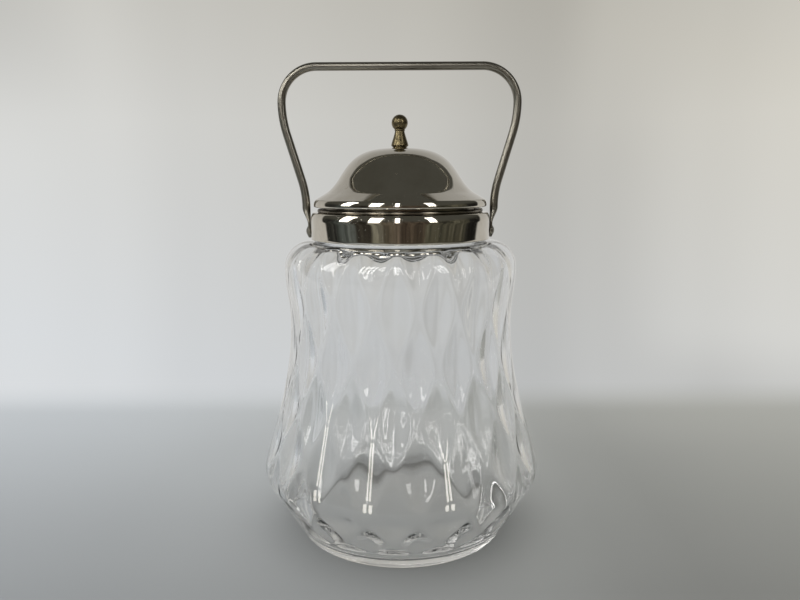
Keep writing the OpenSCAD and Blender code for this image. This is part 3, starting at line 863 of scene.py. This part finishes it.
def rivets():
    """Both rivets, each from its peened tail over the burr to its domed head."""
    burr_face = math.sqrt(COLLAR_IN**2 - BURR_R**2) - BED / 2
    burr_back = burr_face - BURR_T
    tail_back = NECK_R + TAIL_CLEAR
    head_x = eye_x + EYE_T + HEAD_GAP
    cap_r = (RIVET_HEAD_R**2 + RIVET_HEAD_H**2) / (2 * RIVET_HEAD_H)
    cap_a = math.degrees(math.asin(RIVET_HEAD_R / cap_r))
    profile = path(
        [[0, tail_back], [TAIL_SHARE * RIVET_R, tail_back],
         [TAIL_SHARE * RIVET_R, burr_back - BED / 2], [RIVET_R, burr_back - BED / 2],
         [RIVET_R, head_x]],
        arc((0, head_x + RIVET_HEAD_H - cap_r), cap_r, 90 - cap_a, 90, 16)[:-1],
        [[0, head_x + RIVET_HEAD_H]],
    )
    v, f = spin(profile, PIN_SEGMENTS)
    v = np.array(v)
    verts, faces = [], []
    for turn in (1, -1):
        start = len(verts) * len(v)
        verts.append(np.stack([v[:, 2] * turn, v[:, 1], v[:, 0] * turn + PIVOT_Z], 1))
        faces += [tuple(start + i for i in q) for q in f]
    return outward(new_object("bail_rivets", np.vstack(verts), faces, HANDLE, RIVET_SHARP_A))


piece(rivets(), "jar", "handle_plate", "handle_rivets")

# ---- CAD nodes that keep their shape -----------------------------
for node, material in (
    ("neck_cement", PLASTER),
    ("rivet_burrs", RAW_BRASS),
    ("finial_washer", RAW_BRASS),
    ("finial_nut", RAW_BRASS),
):
    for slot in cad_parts[node].material_slots:
        slot.material = material


# ---- Floor and world ---------------------------------------------
EYE = (-0.0003, -0.3445, 0.17517)
# What glass shows of the wall behind it, and in its place in front and overhead
THROUGH = 0.93
THROUGH_FRONT, THROUGH_TOP = (0.55, 0.55, 0.535, 1), (0.52, 0.52, 0.505, 1)
# The even light on everything that neither mirrors nor lets through
AMBIENT = 0.65
# Tables of (place, tone), painted light on the wall: from left to right, lighter on the left with
# a darker band right of the middle, and from low to high, darker towards the top, over these
# parts of the direction's x and z to both sides
WALL_WIDE, WALL_LIGHT_ACROSS = 0.6, [
    (0.0, 0.66), (0.09, 0.70), (0.17, 0.68), (0.27, 0.625), (0.34, 0.61), (0.50, 0.57),
    (0.66, 0.485), (0.73, 0.52), (0.83, 0.60), (0.91, 0.64), (1.0, 0.62),
]
WALL_TALL, WALL_LIGHT_UP = 0.32, [
    (0.0, 1.04), (0.15, 1.03), (0.45, 1.0), (0.63, 0.99), (0.85, 0.88), (1.0, 0.84),
]
# The pale light around the object, as metal mirrors it, from level to overhead
PALE_UP = [(0.0, 0.66), (0.12, 0.62), (0.34, 0.56), (0.60, 0.47), (0.80, 0.42), (1.0, 0.40)]
# The dark room in front, over this angle to both sides of -Y
ROOM_A, ROOM_FRONT = 125, [
    (0.0, (0.09, 0.09, 0.08)), (0.06, (0.022, 0.023, 0.021)), (0.12, (0.035, 0.036, 0.033)),
    (0.16, (0.10, 0.115, 0.11)), (0.235, (0.14, 0.155, 0.15)), (0.25, (0.035, 0.032, 0.026)),
    (0.33, (0.040, 0.035, 0.028)), (0.345, (0.24, 0.235, 0.19)), (0.392, (0.20, 0.19, 0.155)),
    (0.41, (0.11, 0.095, 0.07)), (0.50, (0.15, 0.12, 0.095)), (0.515, (0.085, 0.065, 0.048)),
    (0.635, (0.080, 0.064, 0.048)), (0.65, (0.12, 0.115, 0.085)), (0.675, (0.11, 0.105, 0.075)),
    (0.685, (0.060, 0.056, 0.040)), (0.732, (0.085, 0.082, 0.060)),
    (0.852, (0.105, 0.098, 0.072)), (0.88, (0.05, 0.048, 0.036)),
    (0.895, (0.024, 0.023, 0.020)), (0.97, (0.024, 0.023, 0.020)),
]
CEILING = (0.084, 0.083, 0.072, 1)
# The floor's tone, painted light and shade: from in front of the object, where it is darkest, to
# the soft turn into the wall, and from left to right with a painted shade right of the object,
# partly its shadow, over these lengths in m to both sides
FLOOR_DEEP, FLOOR_LIGHT_ALONG = 0.40, [
    (0.0, 0.55), (0.25, 0.40), (0.41, 0.323), (0.444, 0.352), (0.492, 0.386), (0.573, 0.456),
    (0.66, 0.515), (0.715, 0.54), (0.76, 0.60), (1.0, 0.62),
]
FLOOR_WIDE, FLOOR_LIGHT_ACROSS = 0.30, [
    (0.0, 1.0), (0.33, 0.94), (0.5, 0.88), (0.6, 0.82), (0.67, 0.70), (0.73, 0.665),
    (0.83, 0.70), (1.0, 0.74),
]
FLOOR_GAIN = 1.3
# Radii of the light that glass throws on the floor: around it, and in a disc under its foot
AROUND_R0, AROUND_R1, FOOT_R0, FOOT_R1 = 0.056, 0.16, 0.044, 0.0515
AROUND_GAIN, FOOT_GAIN, FOOT_GLOW = 1.12, 1.26, 0.24
# Where the floor turns into the wall: behind, and to the sides and in front
FAR_BACK, FAR_SIDE = (0.160, 0.250), (0.42, 0.75)


def wall_colour(t, dx, dz):
    """The pale wall in a direction, the same for the world and for the far floor."""
    across = t.ramp(t.step(dx, -WALL_WIDE, WALL_WIDE, smooth=False), WALL_LIGHT_ACROSS, "EASE")
    up = t.ramp(t.step(dz, -WALL_TALL, WALL_TALL, smooth=False), WALL_LIGHT_UP)
    # Cool at the lower left, warm at the upper right
    tint = t.mix(
        t.step(t.math("ADD", dz, t.math("MULTIPLY", dx, 0.35)), -0.35, 0.30, smooth=False),
        (0.97, 1.0, 1.025, 1),
        (1.035, 1.0, 0.90, 1),
    )
    # Dim corner at the top left, soft shade at the lower right, light between them
    corner = t.math("MULTIPLY", t.step(dx, -0.50, -0.36, 1.0, 0.0), t.step(dz, 0.02, 0.23))
    shade = t.math("MULTIPLY", t.step(dx, 0.27, 0.42), t.step(dz, -0.30, -0.18, 1.0, 0.0))
    beam = t.math("ABSOLUTE", t.math("SUBTRACT", dx, 0.29))
    light = t.math("MULTIPLY", t.step(beam, 0.0, 0.09, 1.0, 0.0), t.step(dz, 0.0, 0.22))
    factor = t.math("ADD", t.math("MULTIPLY", corner, -0.15), t.math("MULTIPLY", shade, -0.20))
    factor = t.math("ADD", factor, t.math("MULTIPLY", light, 0.08))
    return t.product(across, up, t.grey(t.math("ADD", factor, 1.0)), tint)


def room_colour(t, direction, dx, dy, dz):
    """The room as metal sees it: dark in front and overhead, pale walls behind.

    Also gives how far the direction points back, from -1 to 1.
    """
    level = t.math("SQRT", t.math("ADD", t.math("MULTIPLY", dx, dx), t.math("MULTIPLY", dy, dy)))
    back = t.math("DIVIDE", dy, t.math("MAXIMUM", level, 0.001))
    azimuth = t.math("ARCTAN2", dx, t.math("MULTIPLY", dy, -1.0))
    place = t.step(azimuth, math.radians(-ROOM_A), math.radians(ROOM_A), smooth=False)
    blur = t.noise(t.scaled(direction, (1, 1, 0.35)), 5.0, 3.0, 0.6)
    streaks = t.noise(t.scaled(direction, (1, 1, 0.2)), 17.0, 2.0, 0.6)
    front = t.product(
        t.ramp(place, ROOM_FRONT),
        t.grey(t.step(blur, 0.35, 0.65, 0.7, 1.3)),
        t.grey(t.step(streaks, 0.36, 0.64, 0.6, 1.45)),
    )
    dark = t.mix(t.step(dz, 0.15, 0.45), front, CEILING)
    pale = t.product((1.0, 0.985, 0.95, 1), t.ramp(dz, PALE_UP))
    # The pale part ends a little to the front on the right, and below at the table's edge
    beside = t.math("SUBTRACT", back, t.math("MULTIPLY", dz, 0.33))
    beside = t.math("SUBTRACT", beside, t.step(dx, 0.0, 0.9, 0.0, 0.09))
    below = t.math("SUBTRACT", t.math("MULTIPLY", dy, 1.6), dz)
    wall = t.math("MULTIPLY", t.step(beside, 0.38, 0.44), t.step(below, -0.02, 0.04))
    return t.mix(wall, dark, pale), back


def surroundings(t, direction):
    """What each kind of ray sees in a direction, and 1 where the ray is one that sees it."""
    parts = t.add("ShaderNodeSeparateXYZ")
    t.put(parts.inputs[0], direction)
    dx, dy, dz = parts.outputs
    wall = wall_colour(t, dx, dz)
    room, back = room_colour(t, direction, dx, dy, dz)
    through = t.product(wall, (THROUGH, THROUGH, THROUGH, 1))
    through = t.mix(t.step(back, 0.0, 0.5), THROUGH_FRONT, through)
    through = t.mix(t.step(dz, 0.25, 0.75), through, THROUGH_TOP)
    ways = t.add("ShaderNodeLightPath").outputs
    colour = t.mix(ways["Is Transmission Ray"], room, through)
    colour = t.mix(ways["Is Camera Ray"], colour, wall)
    seen = t.math("MAXIMUM", ways["Is Glossy Ray"], ways["Is Transmission Ray"])
    return colour, t.math("MAXIMUM", seen, ways["Is Camera Ray"])


def floor_material():
    """The cloth under the object. Far away it turns into the wall."""
    t = Nodes("floor")
    at = t.coords()
    xyz = t.add("ShaderNodeSeparateXYZ")
    t.put(xyz.inputs[0], at)
    x, y = xyz.outputs[0], xyz.outputs[1]
    tint = t.mix(
        t.step(x, -FLOOR_WIDE, FLOOR_WIDE), (0.945, 1.0, 1.05, 1), (0.995, 1.0, 0.93, 1)
    )
    away = t.math("SQRT", t.math("ADD", t.math("MULTIPLY", x, x), t.math("MULTIPLY", y, y)))
    # The tone paints light and shade on the floor: the falloff of the tables, and the light the
    # glass throws around and under it
    tone = t.product(
        t.ramp(t.step(y, -FLOOR_DEEP, FLOOR_DEEP, smooth=False), FLOOR_LIGHT_ALONG),
        t.ramp(t.step(x, -FLOOR_WIDE, FLOOR_WIDE, smooth=False), FLOOR_LIGHT_ACROSS),
        # Light that the glass throws back around it, and that the foot gathers under itself
        t.grey(t.step(away, AROUND_R0, AROUND_R1, AROUND_GAIN, 1.0)),
        t.grey(t.step(away, FOOT_R0, FOOT_R1, FOOT_GAIN, 1.0)),
    )
    colour = t.product(tint, tone, (FLOOR_GAIN, FLOOR_GAIN, FLOOR_GAIN, 1))
    grain = t.noise(at, 900.0, 3.0, 0.6)
    body = t.principled(
        Base_Color=colour, Roughness=0.8, Specular_IOR_Level=0.2,
        Normal=t.bump(grain, 0.05, 0.0002), Emission_Color=colour,
        Emission_Strength=t.step(away, FOOT_R0, FOOT_R1, FOOT_GLOW, 0.0),
    )
    # Far away, the floor turns into the wall
    off = t.add("ShaderNodeVectorMath", operation="SUBTRACT")
    t.put(off.inputs[0], at)
    off.inputs[1].default_value = EYE
    unit = t.add("ShaderNodeVectorMath", operation="NORMALIZE")
    t.put(unit.inputs[0], off.outputs[0])
    around, seen = surroundings(t, unit.outputs[0])
    glow = t.add("ShaderNodeEmission")
    t.put(glow.inputs[0], around)
    far = t.step(y, *FAR_BACK)
    far = t.math("MAXIMUM", far, t.step(t.math("ABSOLUTE", x), *FAR_SIDE))
    far = t.math("MAXIMUM", far, t.step(y, -FAR_SIDE[1], -FAR_SIDE[0], 1.0, 0.0))
    mixed = t.add("ShaderNodeMixShader")
    t.put(mixed.inputs[0], t.math("MULTIPLY", far, seen))
    t.put(mixed.inputs[1], body.outputs[0])
    t.put(mixed.inputs[2], glow.outputs[0])
    return t.output(mixed.outputs[0])


FAR = 30000
floor_verts = [(-FAR, -FAR, 0), (FAR, -FAR, 0), (FAR, FAR, 0), (-FAR, FAR, 0)]
floor = new_object("floor", floor_verts, [(0, 1, 2, 3)], floor_material())
# Just under the foot, so that the two faces don't meet
floor.location.z = -0.00005

world = bpy.data.worlds.new("studio")
bpy.context.scene.world = world
world.use_nodes = True
w = Nodes("world", world.node_tree)
direction = w.add("ShaderNodeTexCoord").outputs["Generated"]
around, seen = surroundings(w, direction)
colour = w.mix(seen, (AMBIENT, AMBIENT, AMBIENT * 0.99, 1), around)
shade = w.add("ShaderNodeBackground")
w.put(shade.inputs[0], colour)
shade.inputs[1].default_value = 1.0
out = w.add("ShaderNodeOutputWorld")
w.tree.links.new(shade.outputs[0], out.inputs[0])


# ---- Lamps, and the windows mirrored in their place --------------
LAMP_AWAY, LAMP_W, LAMP_H = 1.6, 0.6, 0.5
LAMP_RADIANCE, LAMP_COLOUR = 2.0, (1.0, 0.99, 0.975)
# Both are aimed at the lid
TARGET = Vector((0, 0, 0.15))
# Bars between the panes in mm
WINDOW_AWAY, WINDOW_BAR, WINDOW_COLOUR = 2.0, 20.0, (1.0, 0.99, 0.965, 1)
# Strips: where the upper part begins and how wide it is, half the gap along the middle as a
# share of the width, half the bar in mm, and the hooks on top (x of both edges at both ends)
STRIP_SPLIT, STRIP_UPPER, STRIP_GAP, STRIP_BAR = 0.3, 0.55, 0.12, 1.5
HOOK_X, HOOK_Z0, HOOK_Z1 = (0.2, 1.8, 5.0, 5.8), 1, 8
STRIP_COLOUR = (1.0, 0.965, 0.86, 1)


def toward(azimuth, elevation):
    """Unit vector, with the azimuth from -Y towards +X."""
    level = cosd(elevation)
    return Vector((sind(azimuth) * level, -cosd(azimuth) * level, sind(elevation)))


def lamp(name, azimuth, elevation, share):
    """A lamp that lights, but isn't seen in mirrors or through glass."""
    data = bpy.data.lights.new(name, "AREA")
    data.shape = "RECTANGLE"
    data.size, data.size_y = LAMP_W, LAMP_H
    data.energy = LAMP_RADIANCE * share * math.pi * LAMP_W * LAMP_H
    data.color = LAMP_COLOUR
    ob = bpy.data.objects.new(name, data)
    bpy.context.scene.collection.objects.link(ob)
    place = toward(azimuth, elevation)
    ob.location = TARGET + place * LAMP_AWAY
    ob.rotation_euler = (-place).to_track_quat("-Z", "Y").to_euler()
    ob.visible_glossy = False
    ob.visible_transmission = False


def card(name, quads, colour, radiance, place, turn, hidden):
    """Glowing panes that only mirrors and glass show. Each quad is four points in mm."""
    verts = [p for quad in quads for p in quad]
    faces = [tuple(range(k, k + 4)) for k in range(0, len(verts), 4)]
    t = Nodes(name)
    glow = t.add("ShaderNodeEmission")
    glow.inputs[0].default_value = colour
    glow.inputs[1].default_value = radiance
    ob = new_object(name, verts, faces, t.output(glow.outputs[0]))
    ob.location = place
    ob.rotation_euler = turn
    for kind in ("camera", "diffuse", "shadow", "volume_scatter", *hidden):
        setattr(ob, "visible_" + kind, False)


def window(name, azimuth, elevation, width, height, columns, rows, radiance, hidden=()):
    """A window in columns and rows of panes. Sizes in degrees."""
    w2 = math.tan(math.radians(width / 2)) * WINDOW_AWAY / MM
    h2 = math.tan(math.radians(height / 2)) * WINDOW_AWAY / MM
    quads = []
    for i in range(columns):
        for j in range(rows):
            x0, x1 = (-w2 + 2 * w2 * (i + e) / columns for e in (0, 1))
            z0, z1 = (-h2 + 2 * h2 * (j + e) / rows for e in (0, 1))
            x0, x1, z0, z1 = x0 + WINDOW_BAR, x1 - WINDOW_BAR, z0 + WINDOW_BAR, z1 - WINDOW_BAR
            quads.append([(x0, 0, z0), (x1, 0, z0), (x1, 0, z1), (x0, 0, z1)])
    place = toward(azimuth, elevation)
    turn = place.to_track_quat("Y", "Z").to_euler()
    card(name, quads, WINDOW_COLOUR, radiance, TARGET + place * WINDOW_AWAY, turn, hidden)


def strip(name, x, y, azimuth, width, low, high, lean, radiance):
    """A narrow lit strip close to the bowl, which alone can mirror it. Sizes in mm."""
    split = low + STRIP_SPLIT * (high - low)
    edges = []
    for x0, x1 in ((-width / 2, -STRIP_GAP * width), (STRIP_GAP * width, width / 2)):
        for z0, z1 in ((low, split - STRIP_BAR), (split + STRIP_BAR, high)):
            wide = 1.0 if z0 == low else STRIP_UPPER
            edges.append((wide * x0, wide * x1, wide * x0, wide * x1, z0, z1))
    for turn in (-1, 1):
        edges.append((*(turn * x1 for x1 in HOOK_X), high + HOOK_Z0, high + HOOK_Z1))
    quads = []
    for x0, x1, x2, x3, z0, z1 in edges:
        s0, s1 = (lean * (high - z) / (high - low) for z in (z0, z1))
        quads.append([(x0 + s0, 0, z0), (x1 + s0, 0, z0), (x3 + s1, 0, z1), (x2 + s1, 0, z1)])
    place, turn = (x * MM, y * MM, 0), (0, 0, math.radians(azimuth))
    card(name, quads, STRIP_COLOUR, radiance, place, turn, ("transmission",))


lamp("light_left", -66, 40, 1.3)
lamp("light_front_left", -30, 42, 1.0)
lamp("light_front", -5, 42, 0.7)
lamp("light_right", 33, 42, 0.8)

window("window_a", -75, 27, 15, 34, 4, 3, 8.0)
window("window_b", -33, 27, 15, 34, 4, 3, 9.0, hidden=("transmission",))
# Glass shows only a small part of window_b, so that no pale patch lies in the bowl
window("window_b_low", -33, 22, 5, 10, 2, 1, 9.0, hidden=("glossy",))
window("window_c", -4, 27, 6, 34, 1, 3, 8.0)
window("window_d", 42, 27, 10.5, 34, 3, 3, 5.5)

strip("strip_a", -84, -69, -73, 9, 31, 70, 8, 11.0)
strip("strip_b", -35, -108, -29, 9, 31, 71, 1, 12.0)
strip("strip_d", 50, -102, 39, 10, 31, 62, -2, 13.0)

# ---- Camera ------------------------------------------------------
# Fitted to the photo: focal length, the picture's width and the middle's distance below the
# horizon in pixels, and the roll in degrees
FOCAL_PX, PICTURE_W, DOWN_PX, ROLL = 691.0, 800, 118, -0.3
SENSOR = 36.0
data = bpy.data.cameras.new("camera")
data.sensor_width = SENSOR
data.lens = FOCAL_PX / PICTURE_W * SENSOR
data.clip_start, data.clip_end = 0.01, 20
camera = bpy.data.objects.new("camera", data)
bpy.context.scene.collection.objects.link(camera)
tilt = Matrix.Rotation(math.pi / 2 - math.atan(DOWN_PX / FOCAL_PX), 4, "X")
roll = Matrix.Rotation(math.radians(ROLL), 4, "Z")
camera.matrix_world = Matrix.Translation(EYE) @ (tilt @ roll)
bpy.context.scene.camera = camera
bpy.context.scene.view_settings.view_transform = "Standard"
cycles = bpy.context.scene.cycles
cycles.caustics_refractive = False
cycles.max_bounces, cycles.glossy_bounces, cycles.transmission_bounces = 32, 20, 22
